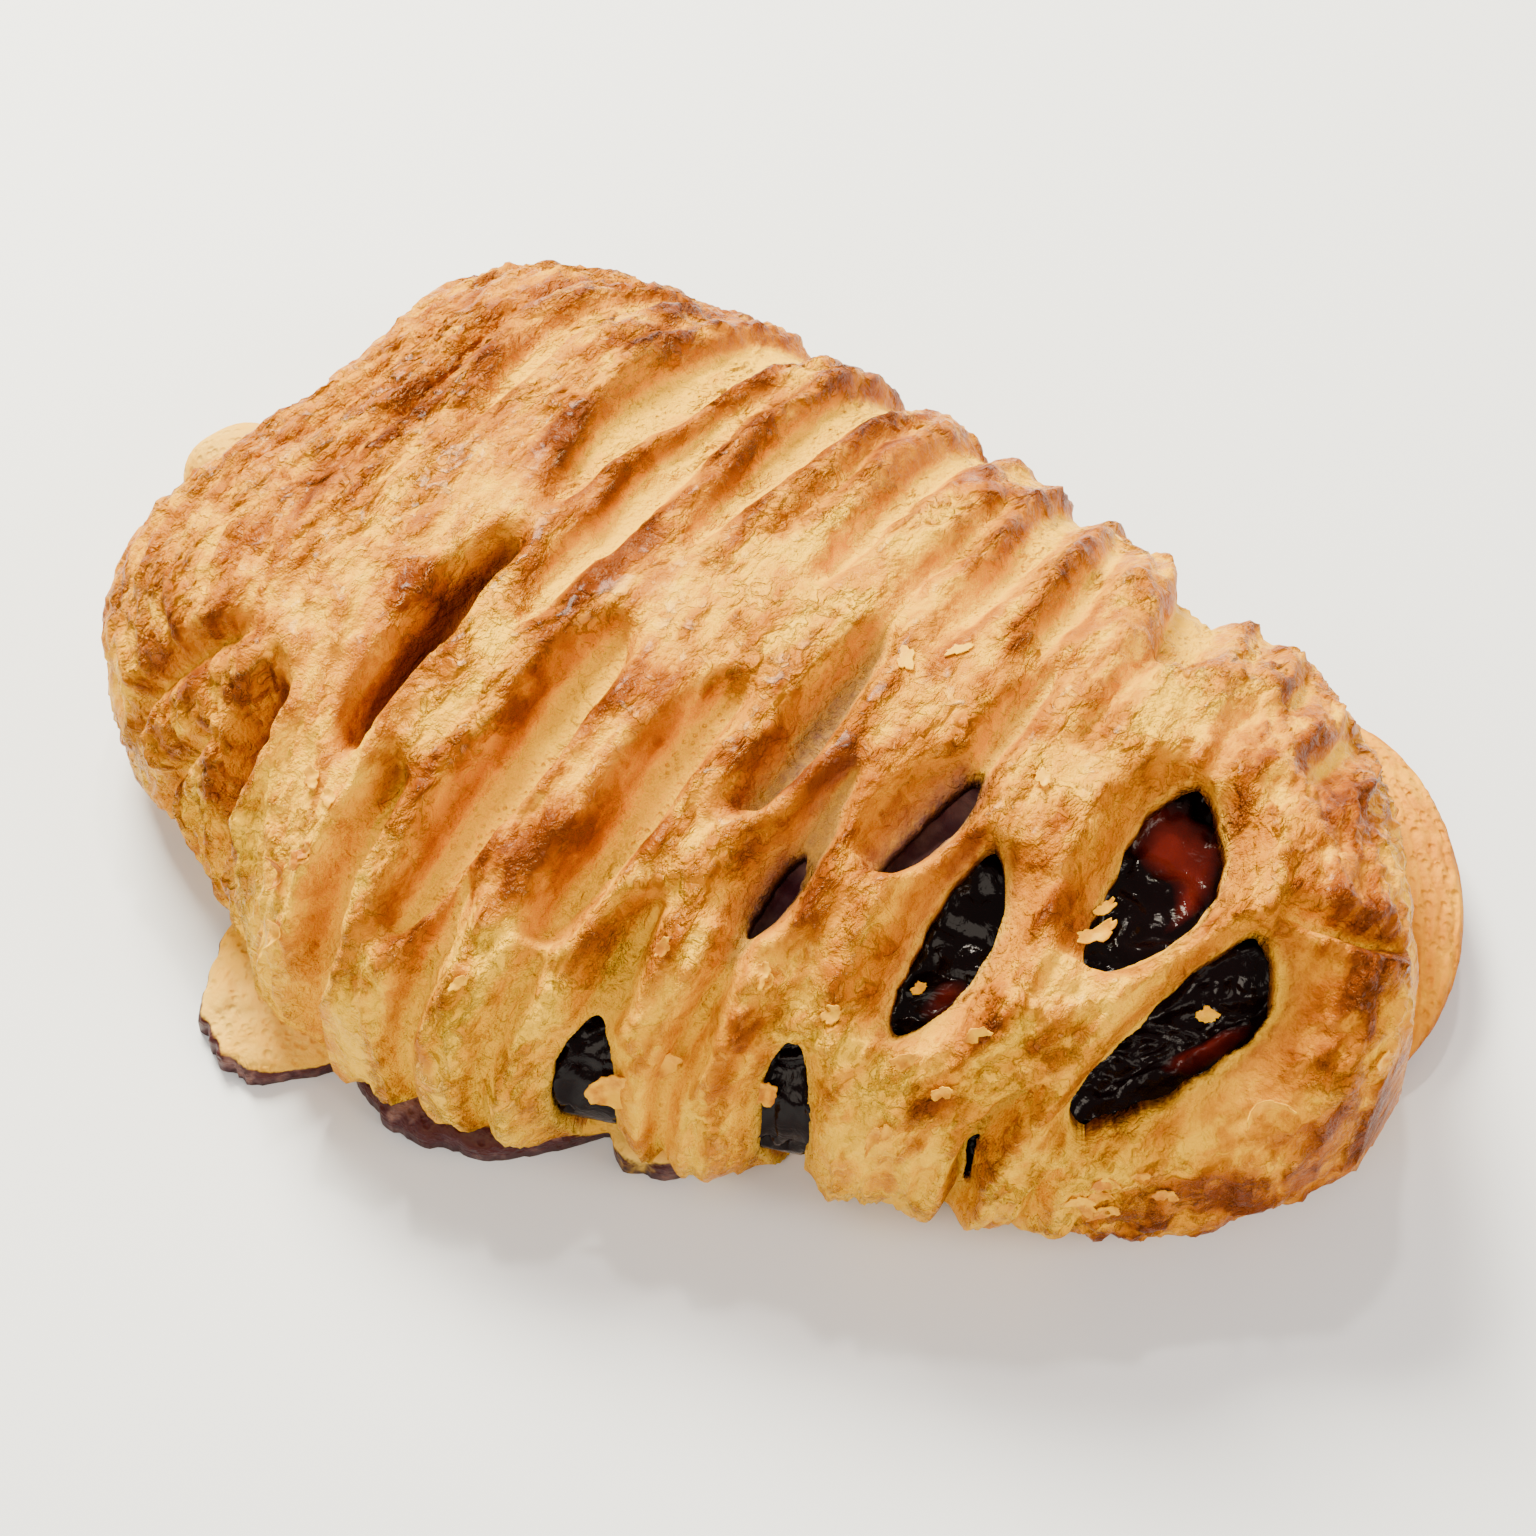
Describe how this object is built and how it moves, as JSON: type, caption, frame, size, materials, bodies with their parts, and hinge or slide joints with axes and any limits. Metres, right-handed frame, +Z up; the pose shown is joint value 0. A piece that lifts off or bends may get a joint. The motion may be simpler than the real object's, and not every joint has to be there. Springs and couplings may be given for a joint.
{
  "type": "danish pastry",
  "caption": "Lattice danish: a slit, ridged puff pastry crust wrapped over a dark berry filling on a flat base sheet.",
  "frame": {"origin": "middle of the whole pastry's footprint, on its flat underside", "axes": "+X along the pastry towards its narrow end, +Y towards its back, -Y towards the slit front side, +Z up"},
  "size_m": [0.1722, 0.117, 0.0396],
  "materials": {
    "baked_crust": "satin",
    "berry_jam": "wet gloss",
    "base_dough": "matte"
  },
  "bodies": {
    "root": {"lattice_crust": "baked_crust", "berry_filling": "berry_jam", "base_crust": "base_dough"}
  },
  "joints": []
}
